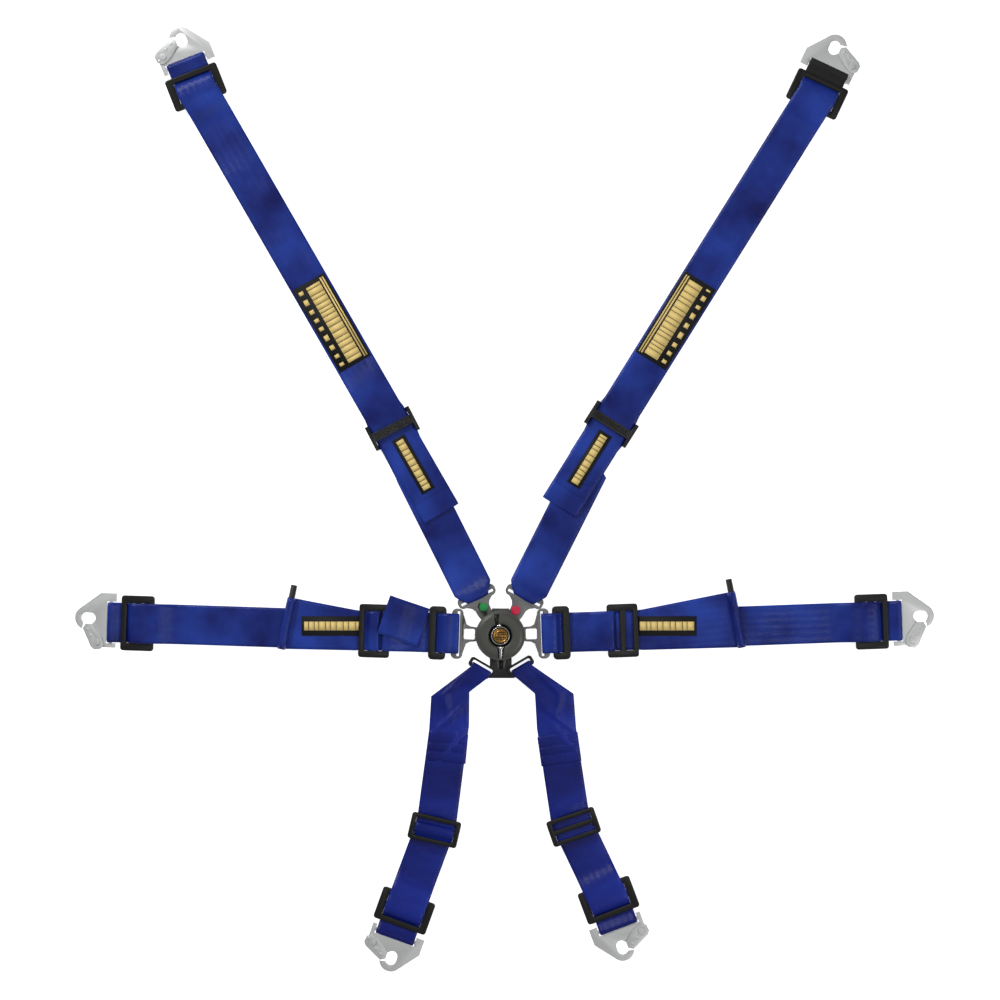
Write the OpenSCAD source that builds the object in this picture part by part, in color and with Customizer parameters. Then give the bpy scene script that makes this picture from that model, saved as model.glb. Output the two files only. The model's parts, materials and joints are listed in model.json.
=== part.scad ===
// Six point racing harness, laid out flat.
// Origin: centre of the rotary buckle, on its back face. +Z is the side away from the driver.
// Every belt has its own frame: X runs outward along the belt, Y across it.

/* [Webbing] */
// Width of the belts
web_w = 49; // [47:0.5:50]
// Thickness of one layer of webbing
web_t = 1.4; // [1.2:0.1:1.5]

/* [Buckle] */
// Radius of the rotary cap
cap_r = 30; // [29:0.5:31]
// Height of the top of the rotary cap
cap_top = 26; // [25:0.5:28]
// Radius of the spindle that the cap turns on
spindle_r = 4; // [3.5:0.5:4.5]

/* [Shoulder belts] */
// Direction of the lower part of each shoulder belt, left then right
shoulder_dir = [116.6, 63.3]; // [60:0.1:120]
// Sideways offset of each lower shoulder belt along X at the buckle
shoulder_x0 = [-5.4, 6]; // [-9:0.1:9]
// Distance from the buckle to each shoulder adjuster
shoulder_adj_r = [284.6, 290.9]; // [280:0.1:320]
// Direction of the upper part of each shoulder belt
shoulder_up_dir = [119.95, 58.06]; // [58:0.01:120]
// Direction that each shoulder adjuster faces
shoulder_frame_dir = [117.2, 57.6]; // [57:0.1:120]
// Distance from each shoulder adjuster to its hook slide
shoulder_up_len = [485.8, 479.8]; // [400:0.1:600]
// Direction of each shoulder hook
shoulder_hook_dir = [111.5, 64.8]; // [57:0.1:120]

/* [Lap belts] */
// Direction of each lap belt, left then right
lap_dir = [178.15, 2.05]; // [0:0.05:180]
// Distance from the buckle to each lap adjuster
lap_adj_r = [155.5, 151]; // [150:0.5:170]
// Distance from each lap adjuster to its hook slide
lap_out_len = [292, 307]; // [250:1:400]
// Length of the loose end that lies back on each lap belt
lap_tail_len = [103, 135]; // [60:1:150]
// How far the sewn sleeve of each loose end stands out towards the shoulder belts
lap_tail_up = [37.5, 43]; // [30:0.5:45]

/* [Crotch belts] */
// Direction of the upper part of each crotch belt, left then right
crotch_dir = [-97.0, -81.3]; // [-98:0.1:-80]
// Direction of the lower part of each crotch belt
crotch_low_dir = [-110.4, -64.5]; // [-112:0.1:-62]
// Direction that each crotch adjuster faces
crotch_frame_dir = [-103.2, -71]; // [-105:0.1:-70]
// Distance from each crotch adjuster to its hook slide
crotch_low_len = [106, 100]; // [98:1:200]
// Direction of each crotch hook
crotch_hook_dir = [-109.8, -69.4]; // [-112:0.1:-66]

/* [Hardware] */
// Thickness of the tongue plates and the hook plates
plate_t = 3; // [2.8:0.1:3.2]
// Radius of the eye in each hook that snaps over an eye bolt
eye_r = 6.5; // [6:0.25:7]

/* [Hidden] */
$fn = 48;
gap = 0.4;
half_w = web_w / 2;
layer_1 = 0.3 + web_t / 2;               // centre height of webbing lying on the floor
layer_2 = layer_1 + web_t + gap;         // centre height of a second layer on it
opening = web_w + 2.4;                    // width inside a frame that takes the webbing
frame_z = 4;                             // underside of the flat three bar frames
frame_t = 3;
over_frame = frame_z + frame_t + gap + web_t / 2;
under_frame = frame_z - gap - web_t / 2;
tongue_z = 6;                            // underside of the tongue plates
tongue_bar_x = 53.2;
shoulder_tongue_half = 25;
slot_x = 50.2;                           // buckle side of the webbing slot in a tongue
lap_tongue_half = 31;
shoulder_loop_w = 2 * (shoulder_tongue_half - 3.4) - 1;
loop_x = tongue_bar_x + 0.8;
loop_mid = tongue_z + plate_t / 2;
loop_r = plate_t / 2 + gap + web_t / 2;
slide_len = 41;
slide_wide = 68;
slide_bar = 7;
hook_bar_x = 33;                         // bar of the hook, from the middle of the slide
hook_bar_mid = 4.6;
hook_loop_r = 3.6;
eye_x = 60.5;
eye_y = -4.8;
pivot = [49, 24];
LEFT = 0;
RIGHT = 1;
fold_half = [[-61.5, -74.5], [65.7, -70]];
crotch_adj = [[-81.3, -240.4], [90.4, -236.6]];
arm_at = [[-21.8, -38.6], [24.2, -36.8]];
arm_dir = [-120.4, -59.6];

BUCKLE = ["buckle_back_plate", "buckle_housing", "latch_pins", "return_spring", "spindle", "back_screws",
    "rotary_cap", "cap_bezel", "emblem_disc", "crotch_bracket"];
SHOULDER = ["tongue", "marker", "lower_webbing", "adjuster", "upper_webbing", "labels", "slide", "hook", "gate"];
LAP = ["tongue", "tongue_adjuster", "inner_webbing", "adjuster", "tail", "pull_tube", "outer_webbing",
    "slide", "hook", "gate"];
CROTCH = ["upper_webbing", "adjuster", "lower_webbing", "slide", "hook", "gate"];
function names(belt, parts) = [for (side = ["left_", "right_"], part = parts) str(belt, side, part)];

BLUE = "#1a2a82";
BLACK = "#2f302f";
STEEL = "#77787a";
ZINC = "#c6c8c8";

// ---- vectors and webbing paths ----
function unit(v) = v / norm(v);
function left_of(v) = [-v.y, v.x];
function polar(r, a) = [r * cos(a), r * sin(a)];
function arc(c, r, a0, a1, n) = [for (i = [0:n]) c + polar(r, a0 + (a1 - a0) * i / n)];
function mitre(p, i) =
    let (
        last = len(p) - 1,
        before = unit(p[max(i, 1)] - p[max(i, 1) - 1]),
        after = unit(p[min(i, last - 1) + 1] - p[min(i, last - 1)]),
        mid = unit(left_of(before) + left_of(after))
    ) mid / (mid * left_of(after));
function outline(p, t) = concat(
    [for (i = [0:len(p) - 1]) p[i] + mitre(p, i) * t / 2],
    [for (i = [len(p) - 1:-1:0]) p[i] - mitre(p, i) * t / 2]);

// A strip of webbing that follows a path of [along, height] points
module ribbon(path, wide = web_w) {
    rotate([90, 0, 0])
        linear_extrude(wide, center = true)
            polygon(outline(path, web_t));
}

module along(at, dir) {
    translate([at.x, at.y, 0])
        rotate([0, 0, dir])
            children();
}

// Rectangle with round corners, made of exact arcs
module round_rect(x0, x1, y0, y1, r) {
    translate([x0 + r, y0])
        square([x1 - x0 - 2 * r, y1 - y0]);
    translate([x0, y0 + r])
        square([x1 - x0, y1 - y0 - 2 * r]);
    for (x = [x0 + r, x1 - r], y = [y0 + r, y1 - r])
        translate([x, y])
            circle(r);
}

module plate(z, t) {
    translate([0, 0, z])
        linear_extrude(t)
            children();
}

// ---- places of the belts ----
function shoulder_adj(s) = [shoulder_x0[s], 0] + polar(shoulder_adj_r[s], shoulder_dir[s]);
function shoulder_end(s) = shoulder_adj(s) + polar(shoulder_up_len[s], shoulder_up_dir[s]);
function lap_adj(s) = polar(lap_adj_r[s], lap_dir[s]);
function lap_end(s) = polar(lap_adj_r[s] + lap_out_len[s], lap_dir[s]);
function crotch_end(s) = crotch_adj[s] + polar(crotch_low_len[s], crotch_low_dir[s]);

// ---- hook end: slide, hook, gate and the webbing through them ----
slide_half = slide_len / 2;
hook_path = concat(
    [[-52, layer_1 + 0.3], [-40, layer_1 + 0.3], [-25, over_frame], [-12, over_frame], [-5, over_frame + 1.8],
        [5, over_frame + 1.8], [10.8, 5.5], [12.2, layer_2], [22, layer_2]],
    arc([hook_bar_x, hook_bar_mid], hook_loop_r, 118, -90, 9),
    [[10, layer_1], [7.2, 3.5], [4.6, over_frame], [-4.6, over_frame], [-8.5, 3.5], [-11, 1.6], [-19, 1.6]]);

module hook_webbing() {
    ribbon(hook_path);
}

// Flat three bar frame: half length, outside width, opening, bar width and half of the middle bar
module three_bar(half, wide, bar, mid) {
    color(BLACK)
        plate(frame_z, frame_t)
            difference() {
                round_rect(-half, half, -wide / 2, wide / 2, 3);
                for (s = [-1, 1])
                    translate([s * (mid + half - bar) / 2, 0])
                        square([half - bar - mid, opening], center = true);
            }
}

module slide() {
    three_bar(slide_half, slide_wide, slide_bar, slide_bar / 2);
}

// Outline of the hook with its mouth towards +Y
module hook_outline() {
    difference() {
        union() {
            polygon([[26.5, -36], [46, -36], [71.5, -16.5], [62, -4], [55, 3], [52, 31], [26.5, 31]]);
            translate([62.5, -5])
                circle(14.7);
        }
        translate([hook_bar_x + 3.6, 0])
            square([3.2, opening], center = true);
        translate([28, 0])
            square([6, opening], center = true);
        for (x = [eye_x - 2.25, eye_x + 2.25])
            translate([x, eye_y])
                circle(eye_r);
        translate([eye_x, eye_y])
            square([4.5, 2 * eye_r], center = true);
        polygon([[56, -3], [66, -3], [69, 12], [54.2, 12]]);
    }
}

module hook(side) {
    color(ZINC)
        mirror([0, side < 0 ? 1 : 0, 0]) {
            plate(hook_bar_mid - plate_t / 2, plate_t)
                hook_outline();
            translate([pivot.x, pivot.y, hook_bar_mid])
                cylinder(h = 4.2, r = 2.5);
            translate([pivot.x, pivot.y, hook_bar_mid + 4.2])
                cylinder(h = 1, r = 4);
        }
}

// Spring gate: a pressed plate that turns on the rivet and closes the mouth
module gate(side) {
    color(ZINC)
        mirror([0, side < 0 ? 1 : 0, 0])
            plate(hook_bar_mid + plate_t / 2 + gap, 1.8)
                difference() {
                    polygon([[63.5, 2], [67, 8], [56.5, 30.5], [52, 34], [44, 33], [40.5, 27], [44, 17], [55.5, 2]]);
                    translate(pivot)
                        circle(2.56);
                }
}

module hook_set(at, dir, part, side) {
    along(at, dir) {
        if (part == "slide") slide();
        if (part == "hook") hook(side);
        if (part == "gate") gate(side);
    }
}

// ---- tongues ----
// Webbing round the outer bar of a tongue, from underneath to the top
function tongue_loop() = concat(
    [[58, loop_mid - loop_r]],
    arc([loop_x, loop_mid], loop_r, -90, -270, 10),
    [[60, loop_mid + loop_r]]);

module tongue_outline(half, window) {
    slot_half = half - 3.4;
    difference() {
        union() {
            round_rect(46, 60.4, -half, half, 6);
            for (side = [0, 1])
                mirror([0, side, 0])
                    polygon([[48, 0], [48, half - 5], [45.5, half - 8], [42, 12], [37.5, 9.5], [31, 9], [14, 5.5],
                        [14, 0]]);
        }
        translate([(slot_x + tongue_bar_x) / 2, 0])
            square([tongue_bar_x - slot_x, 2 * slot_half], center = true);
        translate([20, 0])
            square([8, 6.4], center = true);
        if (window)
            round_rect(31.5, 45, -6.5, 6.5, 2);
    }
}

module tongue(half, window = false) {
    color(STEEL)
        plate(tongue_z, plate_t)
            tongue_outline(half, window);
}

// ---- buckle ----
housing_z = 10;
screw_at = [88, 222, 318];
cap_z = 14.5;

module buckle_back_plate() {
    color(BLACK)
        difference() {
            cylinder(h = 3, r = 28, $fn = 96);
            for (a = screw_at)
                rotate([0, 0, a])
                    translate([24, 0, -1])
                        cylinder(h = 6, r = 1.6);
            translate([0, 0, -1])
                cylinder(h = 6, r = spindle_r);
        }
}

module wall_wedge(a0, a1) {
    polygon([[0, 0], polar(40, a0), polar(40, (a0 + a1) / 2), polar(40, a1)]);
}

module buckle_housing() {
    color(BLACK) {
        difference() {
            union() {
                translate([0, 0, housing_z])
                    cylinder(h = 4, r = 28.5, $fn = 96);
                plate(housing_z, 3)
                    polygon([[-11.5, 24], [12.5, 24], [12.5, 29], [11, 33], [-10, 33], [-11.5, 29]]);
            }
            translate([0, 0, housing_z - 1])
                cylinder(h = 6, r = 9);
        }
        difference() {
            plate(3, housing_z - 3)
                intersection() {
                    difference() {
                        circle(28, $fn = 96);
                        circle(20, $fn = 96);
                    }
                    union() {
                        wall_wedge(72, 104);
                        wall_wedge(148, 157);
                        wall_wedge(204, 238);
                        wall_wedge(302, 336);
                    }
                }
            for (a = screw_at)
                rotate([0, 0, a])
                    translate([24, 0, 0])
                        cylinder(h = 9, r = 1.6);
        }
    }
}

// Spring pins that drop behind the tip of each tongue
module latch_pins() {
    color(STEEL)
        for (a = [shoulder_dir[LEFT], shoulder_dir[RIGHT], lap_dir[LEFT], lap_dir[RIGHT], -90])
            rotate([0, 0, a])
                translate([11, 0, 3])
                    cylinder(h = 6.6, r = 2.2);
}

module return_spring() {
    color(STEEL)
        translate([0, 0, housing_z])
            for (i = [0:3])
                translate([0, 0, 0.4 + i])
                    rotate_extrude()
                        translate([6.6, 0.3])
                            circle(0.4);
}

module spindle() {
    color(STEEL) {
        cylinder(h = cap_z + 4.9, r = spindle_r);
        translate([0, 0, 3])
            cylinder(h = 2, r = 6);
    }
}

module back_screws() {
    color(STEEL)
        for (a = screw_at)
            rotate([0, 0, a])
                translate([24, 0, 0.2])
                    cylinder(h = 8, r = 1.6);
}

module rotary_cap() {
    color(BLACK)
        difference() {
            union() {
                translate([0, 0, cap_z])
                    cylinder(h = 8.5, r = cap_r, $fn = 96);
                translate([0, 0, cap_z + 8.5])
                    cylinder(h = cap_top - cap_z - 8.5, r1 = cap_r, r2 = cap_r - 3, $fn = 96);
                for (i = [0:35])
                    rotate([0, 0, i * 10])
                        translate([cap_r, 0, cap_z])
                            cylinder(h = 8, r = 0.9);
            }
            translate([0, 0, cap_z - 1])
                cylinder(h = 6.1, r = spindle_r + 0.06);
            translate([0, 0, cap_top - 4])
                cylinder(h = 6, r = 14.5, $fn = 96);
            translate([-3.5, 15.5, cap_top - 2])
                cube([4.4, 11, 4]);
        }
}

module cap_bezel() {
    color("silver")
        translate([0, 0, cap_top - 4]) {
            difference() {
                cylinder(h = 4.4, r = 12, $fn = 96);
                translate([0, 0, -1])
                    cylinder(h = 7, r = 9.6, $fn = 96);
            }
        }
}

module emblem_disc() {
    color("goldenrod")
        translate([0, 0, cap_top - 4])
            cylinder(h = 3.6, r = 9.2, $fn = 96);
}

// ---- shoulder belts ----
module shoulder_lower_webbing(s) {
    color(BLUE) {
        along([shoulder_x0[s], 0], shoulder_dir[s]) {
            ribbon(concat(
                [[118, layer_1], [100, layer_1]],
                tongue_loop(),
                [[72, 5.7], [100, layer_2], [118, layer_2]]), shoulder_loop_w);
            ribbon([[shoulder_adj_r[s] - 36, layer_1], [100, layer_1]]);
        }
        along(shoulder_adj(s), shoulder_frame_dir[s])
            ribbon(concat(
                [[-46, layer_1]],
                arc([-10.5, 3.1], 2.1, -90, 90, 10),
                [[-18, 5.2], [-27, layer_2], [-48, layer_2]]));
    }
}

strip_z = 6.9;
bar_b_z = 8.7;

module shoulder_adjuster(s) {
    color(BLACK)
        along(shoulder_adj(s), shoulder_frame_dir[s]) {
            for (side = [-1, 1])
                translate([0, side * (opening / 2 + 2.25), 2.1])
                    translate([-16, -2.25, 0])
                        cube([32, 4.5, 10.1]);
            translate([-16, -opening / 2, 2.1])
                cube([6, opening, 2]);
            translate([10, -opening / 2, 2.1])
                cube([6, opening, 3.4]);
            difference() {
                translate([-5.5, -opening / 2, bar_b_z])
                    cube([11, opening, 3.5]);
                for (x = [-2.5, 0, 2.5])
                    translate([x - 0.5, -opening / 2 + 3, bar_b_z + 2.9])
                        cube([1, opening - 6, 1]);
            }
        }
}

module shoulder_upper_webbing(s) {
    color(BLUE) {
        along(shoulder_adj(s), shoulder_up_dir[s]) {
            ribbon([[-120, strip_z], [58, strip_z], [82, layer_1], [shoulder_up_len[s] - 44, layer_1]]);
            translate([-120, -half_w, strip_z])
                cube([24, web_w, web_t / 2 + 1.4]);
        }
        along(shoulder_end(s), shoulder_hook_dir[s])
            hook_webbing();
    }
}

module shoulder_labels(s) {
    color(BLACK)
        along(shoulder_adj(s), shoulder_up_dir[s]) {
            translate([92, -22, layer_1 + web_t / 2])
                cube([117, 44, 0.6]);
            translate([-89, -9, strip_z + web_t / 2])
                cube([76, 18, 0.6]);
        }
}

marker_at = [[37.6, -2], [33, 2.2]];
marker_r = [5.4, 5.6];

module shoulder_marker(s) {
    color(s == LEFT ? "green" : "crimson")
        along([shoulder_x0[s], 0], shoulder_dir[s])
            translate([marker_at[s].x, marker_at[s].y, tongue_z + plate_t])
                cylinder(h = 2, r = marker_r[s]);
}

// ---- lap belts ----
tab_x = [67, 88.5];
loose_end_at = [-95, 9.1];
loose_end_dir = 160.8;

module lap_tongue_adjuster(s) {
    shift = s == LEFT ? 0 : -2.5;
    color(BLACK)
        along([0, 0], lap_dir[s])
            plate(frame_z, frame_t)
                difference() {
                    round_rect(tab_x[0] + shift, tab_x[1] + shift, -33, 33, 4);
                    translate([72 + shift, -opening / 2])
                        square([7.5, opening]);
                }
}

module lap_inner_webbing(s) {
    shift = s == LEFT ? 0 : -2.5;
    adj = lap_adj_r[s];
    color(BLUE)
        along([0, 0], lap_dir[s])
            ribbon(concat(
                [[adj - 32, under_frame]],
                arc([adj - 13.2, frame_z + frame_t / 2], 2.6, -90, 90, 10),
                [[adj - 22, over_frame], [adj - 40, layer_2], [98, layer_2], [90, layer_1], [66, layer_1]],
                tongue_loop(),
                [[64, 8.6], [73 + shift, over_frame], [78 + shift, under_frame],
                    [86.5 + shift, under_frame]]));
    // the loose end of the left belt lies turned on top of it
    if (s == LEFT)
        color(BLUE)
            along(loose_end_at, loose_end_dir)
                ribbon([[0, 4.9], [14.2, 5], [32.2, 10], [51.5, 10]]);
}

module lap_adjuster(s) {
    along(lap_adj(s), lap_dir[s])
        three_bar(19.2, 66, 6.5, 3.5);
}

sleeve_wide = 12;
sleeve_h = 9.4;
tube_r = 3.9;
tail_low = -26;                          // far edge of a loose end, away from the shoulder belts
sleeve_slant = 11;

// The frame of a lap adjuster, with +Y towards the shoulder belts
module tail_frame(s) {
    along(lap_adj(s), lap_dir[s])
        mirror([0, s == LEFT ? 1 : 0, 0])
            children();
}

// The frame of the sleeve: X runs along it, from its upper end
module sleeve_frame(s) {
    tail_frame(s)
        translate([lap_tail_len[s], lap_tail_up[s], under_frame - web_t / 2])
            rotate([0, 0, atan2(tail_low - lap_tail_up[s], sleeve_slant)])
                children();
}

function sleeve_length(s) = norm([tail_low - lap_tail_up[s], sleeve_slant]);

module lap_tail(s) {
    color(BLUE) {
        if (s == LEFT)
            along(lap_adj(s), lap_dir[s])
                ribbon(concat(
                    [[3, under_frame]],
                    arc([-3.1, frame_z + frame_t / 2], 2.6, -90, -270, 10),
                    [[4.2, over_frame], [8.8, 3.6], [11, under_frame], [21, under_frame]]));
        else
            along(lap_adj(s), lap_dir[s])
                ribbon([[-8, under_frame], [21, under_frame]]);
        difference() {
            union() {
                tail_frame(s)
                    plate(under_frame - web_t / 2 + 0.1, web_t)
                        polygon([[20, -25], [20, 25], [lap_tail_len[s] + 1, lap_tail_up[s]],
                            [lap_tail_len[s] + sleeve_slant + 1, tail_low]]);
                sleeve_frame(s)
                    translate([0, -sleeve_wide / 2, 0])
                        cube([sleeve_length(s), sleeve_wide, sleeve_h]);
            }
            sleeve_frame(s)
                translate([-3, 0, sleeve_h / 2])
                    rotate([0, 90, 0])
                        cylinder(h = sleeve_length(s) + 6, r = tube_r + 0.1);
        }
    }
}

// Stiff tube in the sleeve, which gives the hand something to pull on
module lap_pull_tube(s) {
    color(BLACK)
        sleeve_frame(s)
            translate([-16, 0, sleeve_h / 2])
                rotate([0, 90, 0])
                    difference() {
                        cylinder(h = sleeve_length(s) + 14, r = tube_r);
                        translate([0, 0, -1])
                            cylinder(h = sleeve_length(s) + 16, r = tube_r - 1.3);
                    }
}

module lap_outer_webbing(s) {
    color(BLUE)
        along(lap_adj(s), lap_dir[s]) {
            ribbon([[-30, layer_1], [lap_out_len[s] - 44, layer_1]]);
            translate([lap_out_len[s], 0, 0])
                hook_webbing();
        }
}

// ---- crotch belts ----
module crotch_bracket() {
    color(BLACK)
        difference() {
            union() {
                plate(tongue_z, plate_t)
                    polygon([[-8, -14], [8, -14], [14, -28], [14, -40], [19.5, -50.5], [17, -53], [-15, -53],
                        [-17.5, -50.5], [-13, -40], [-13, -28]]);
                for (s = [LEFT, RIGHT])
                    along(arm_at[s], arm_dir[s])
                        plate(tongue_z - 0.2, plate_t + 0.4)
                            round_rect(-5, 7.4, -17.6, 17.6, 4);
            }
            for (s = [LEFT, RIGHT])
                along(arm_at[s], arm_dir[s])
                    plate(tongue_z - 1, plate_t + 2)
                        round_rect(-2.2, 2.8, -13.8, 13.8, 2);
            translate([1, -20, tongue_z])
                cube([4.4, 9, 4 * plate_t], center = true);
        }
}

module crotch_upper_webbing(s) {
    x = s == LEFT ? -1 : 1;
    arm = arm_at[s];
    fold = fold_half[s];
    color(BLUE) {
        along(arm, arm_dir[s])
            ribbon(concat(
                [[12, 4.6], [8, loop_mid - loop_r]],
                arc([3.8, loop_mid], loop_r, -90, -270, 10),
                [[8, loop_mid + loop_r], [14, 6.6]]), 26);
        plate(layer_2 - web_t / 2, 5.2)
            polygon([arm + polar(11, arm_dir[s]) + polar(13, arm_dir[s] + 90 * x),
                arm + polar(11, arm_dir[s]) + polar(13, arm_dir[s] - 90 * x),
                fold + [-x * 22.5, -1], fold + [x * 25.5, -3]]);
        along(fold, crotch_dir[s])
            ribbon([[1, layer_2], [norm(crotch_adj[s] - fold) - 16, layer_2]]);
        along(crotch_adj[s], crotch_frame_dir[s])
            ribbon(concat(
                [[-30, layer_2], [-10.5, under_frame]],
                s == LEFT ? [[-6.2, 3.6], [-4, over_frame], [4, over_frame]] : [[4.4, under_frame], [7.8, 5.5]],
                [[10, over_frame], [17, over_frame], [34, layer_2], [37, layer_2]]));
        along(crotch_adj[s], crotch_dir[s])
            translate([-104, -half_w, layer_2])
                cube([27, web_w, web_t / 2 + 1.4]);
    }
}

module crotch_adjuster(s) {
    along(crotch_adj[s], crotch_frame_dir[s])
        three_bar(16.5, 62, 5.5, 3);
}

module crotch_lower_webbing(s) {
    color(BLUE) {
        along(crotch_adj[s], crotch_low_dir[s])
            ribbon([[-34, layer_1], [crotch_low_len[s] - 44, layer_1]]);
        along(crotch_end(s), crotch_hook_dir[s])
            hook_webbing();
    }
}

// ---- belts as sets of parts ----
module shoulder(s, part) {
    if (part == "tongue") along([shoulder_x0[s], 0], shoulder_dir[s]) tongue(shoulder_tongue_half);
    if (part == "marker") shoulder_marker(s);
    if (part == "lower_webbing") shoulder_lower_webbing(s);
    if (part == "adjuster") shoulder_adjuster(s);
    if (part == "upper_webbing") shoulder_upper_webbing(s);
    if (part == "labels") shoulder_labels(s);
    hook_set(shoulder_end(s), shoulder_hook_dir[s], part, s == LEFT ? 1 : -1);
}

module lap(s, part) {
    if (part == "tongue") along([0, 0], lap_dir[s]) tongue(lap_tongue_half, true);
    if (part == "tongue_adjuster") lap_tongue_adjuster(s);
    if (part == "inner_webbing") lap_inner_webbing(s);
    if (part == "adjuster") lap_adjuster(s);
    if (part == "tail") lap_tail(s);
    if (part == "pull_tube") lap_pull_tube(s);
    if (part == "outer_webbing") lap_outer_webbing(s);
    hook_set(lap_end(s), lap_dir[s], part, s == LEFT ? 1 : -1);
}

module crotch(s, part) {
    if (part == "upper_webbing") crotch_upper_webbing(s);
    if (part == "adjuster") crotch_adjuster(s);
    if (part == "lower_webbing") crotch_lower_webbing(s);
    hook_set(crotch_end(s), crotch_hook_dir[s], part, s == LEFT ? -1 : 1);
}

buckle_back_plate();
buckle_housing();
latch_pins();
return_spring();
spindle();
back_screws();
rotary_cap();
cap_bezel();
emblem_disc();
crotch_bracket();
for (s = [LEFT, RIGHT]) {
    side = s == LEFT ? "left_" : "right_";
    for (part = SHOULDER)
        shoulder(s, part);
    for (part = LAP)
        lap(s, part);
    for (part = CROTCH)
        crotch(s, part);
}
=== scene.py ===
# %% [markdown]
# # A racing harness on a rotary buckle
# Six belts of 50 mm webbing meet at one round buckle: two over the shoulders, two over the lap, two
# between the legs. Every belt ends in a snap hook. The solid model gives the size and the moving bodies.
# Here each solid gets a finished surface that rides on the same body, so the poses stay true.

import json
import math
import random

import bmesh
import bpy
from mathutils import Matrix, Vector

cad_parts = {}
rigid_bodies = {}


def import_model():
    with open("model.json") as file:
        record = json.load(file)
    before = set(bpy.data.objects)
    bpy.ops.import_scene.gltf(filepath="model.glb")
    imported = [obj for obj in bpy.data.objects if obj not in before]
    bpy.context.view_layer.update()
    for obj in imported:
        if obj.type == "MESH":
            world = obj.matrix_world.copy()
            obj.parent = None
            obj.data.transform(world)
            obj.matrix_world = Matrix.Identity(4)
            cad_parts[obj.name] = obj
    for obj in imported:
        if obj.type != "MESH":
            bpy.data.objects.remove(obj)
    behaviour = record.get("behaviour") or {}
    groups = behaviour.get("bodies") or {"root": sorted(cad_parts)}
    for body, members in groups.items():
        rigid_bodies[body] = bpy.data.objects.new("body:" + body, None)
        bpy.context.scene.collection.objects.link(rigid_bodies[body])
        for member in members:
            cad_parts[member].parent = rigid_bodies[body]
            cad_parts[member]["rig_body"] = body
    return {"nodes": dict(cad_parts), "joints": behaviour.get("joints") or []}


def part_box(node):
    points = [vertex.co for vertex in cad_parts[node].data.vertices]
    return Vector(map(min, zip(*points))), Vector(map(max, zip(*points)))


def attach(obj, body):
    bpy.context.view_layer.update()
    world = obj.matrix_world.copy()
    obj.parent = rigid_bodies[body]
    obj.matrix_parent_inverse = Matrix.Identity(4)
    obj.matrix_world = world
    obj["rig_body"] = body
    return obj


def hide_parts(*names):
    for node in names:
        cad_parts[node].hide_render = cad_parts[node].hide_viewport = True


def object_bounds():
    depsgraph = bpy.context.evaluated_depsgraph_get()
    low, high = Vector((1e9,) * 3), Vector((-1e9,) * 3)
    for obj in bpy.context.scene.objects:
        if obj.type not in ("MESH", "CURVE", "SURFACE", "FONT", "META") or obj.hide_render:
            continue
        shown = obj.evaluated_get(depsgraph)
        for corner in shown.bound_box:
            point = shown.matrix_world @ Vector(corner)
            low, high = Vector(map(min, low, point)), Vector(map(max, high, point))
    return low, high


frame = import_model()
nodes = frame["nodes"]
joints = {j["name"]: j for j in frame["joints"]}


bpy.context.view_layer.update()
MM = 0.001
SIDES = ("left", "right")

# %% [markdown]
# The places of the hardware come from the model itself. A frame is symmetric, so the middle of its box is
# its centre, and a slide joint's axis is the direction of its belt. That way nothing has to be measured
# twice, and a change of the model carries over.


# %% Find where the hardware sits
def centre(node):
    low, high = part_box(node)
    return Vector(((low.x + high.x) / 2, (low.y + high.y) / 2)) / MM


def heading(joint):
    axis = joints[joint]["axis"]
    return math.degrees(math.atan2(axis[1], axis[0]))


def hook_heading(hook):
    return heading(hook + "_tilt") + 90


def place(at, angle, x, y=0.0, z=0.0):
    a = math.radians(angle)
    return Vector(
        (
            at[0] + x * math.cos(a) - y * math.sin(a),
            at[1] + x * math.sin(a) + y * math.cos(a),
            z,
        )
    )


def body_of(node):
    return nodes[node]["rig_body"]


print("left lap adjuster at", tuple(round(v, 1) for v in centre("lap_left_adjuster")), "mm")

# %% [markdown]
# Colours are written as the hex values a paint chart would give. Blender's sockets want linear light, so
# one function converts them. Another adds a node with its settings and links, which keeps each material
# short enough to read as a recipe.


# %% Colour and node helpers
def srgb(code, alpha=1.0):
    out = []
    for i in (0, 2, 4):
        c = int(code.lstrip("#")[i : i + 2], 16) / 255
        out.append(c / 12.92 if c <= 0.04045 else ((c + 0.055) / 1.055) ** 2.4)
    return (*out, alpha)


def add(tree, kind, inputs=None, **settings):
    n = tree.nodes.new(kind)
    for key, value in settings.items():
        setattr(n, key, value)
    for key, value in (inputs or {}).items():
        if isinstance(value, bpy.types.NodeSocket):
            tree.links.new(value, n.inputs[key])
        else:
            n.inputs[key].default_value = value
    return n


def new_material(name, **shader):
    m = bpy.data.materials.new(name)
    m.use_nodes = True
    tree = m.node_tree
    tree.nodes.clear()
    bsdf = add(tree, "ShaderNodeBsdfPrincipled", {k.replace("_", " "): v for k, v in shader.items()})
    add(tree, "ShaderNodeOutputMaterial", {"Surface": bsdf.outputs[0]})
    return m, tree, bsdf


def tint(tree, dark, light, factor):
    ramp = add(tree, "ShaderNodeValToRGB", {"Fac": factor})
    ramp.color_ramp.elements[0].color = srgb(dark)
    ramp.color_ramp.elements[1].color = srgb(light)
    return ramp.outputs["Color"]


print("helpers ready")

# %% [markdown]
# Harness webbing is woven polyester, about 1.4 mm thick. The weave is a row of narrow chevron bands that
# run the length of the belt, with a tight plain edge on both sides. The pattern follows a UV map in metres,
# so a thread stays 0.9 mm wide round every fold. Dyed polyester has a soft sheen, which is what shows the
# folds in the light. The colour also carries painted light: a slow noise mixes a dark and a light blue,
# as painted shade and painted highlights on the folds.


# %% Webbing material
THREAD_PITCH = 0.0009
BAND_WIDTH = 0.0082


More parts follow.
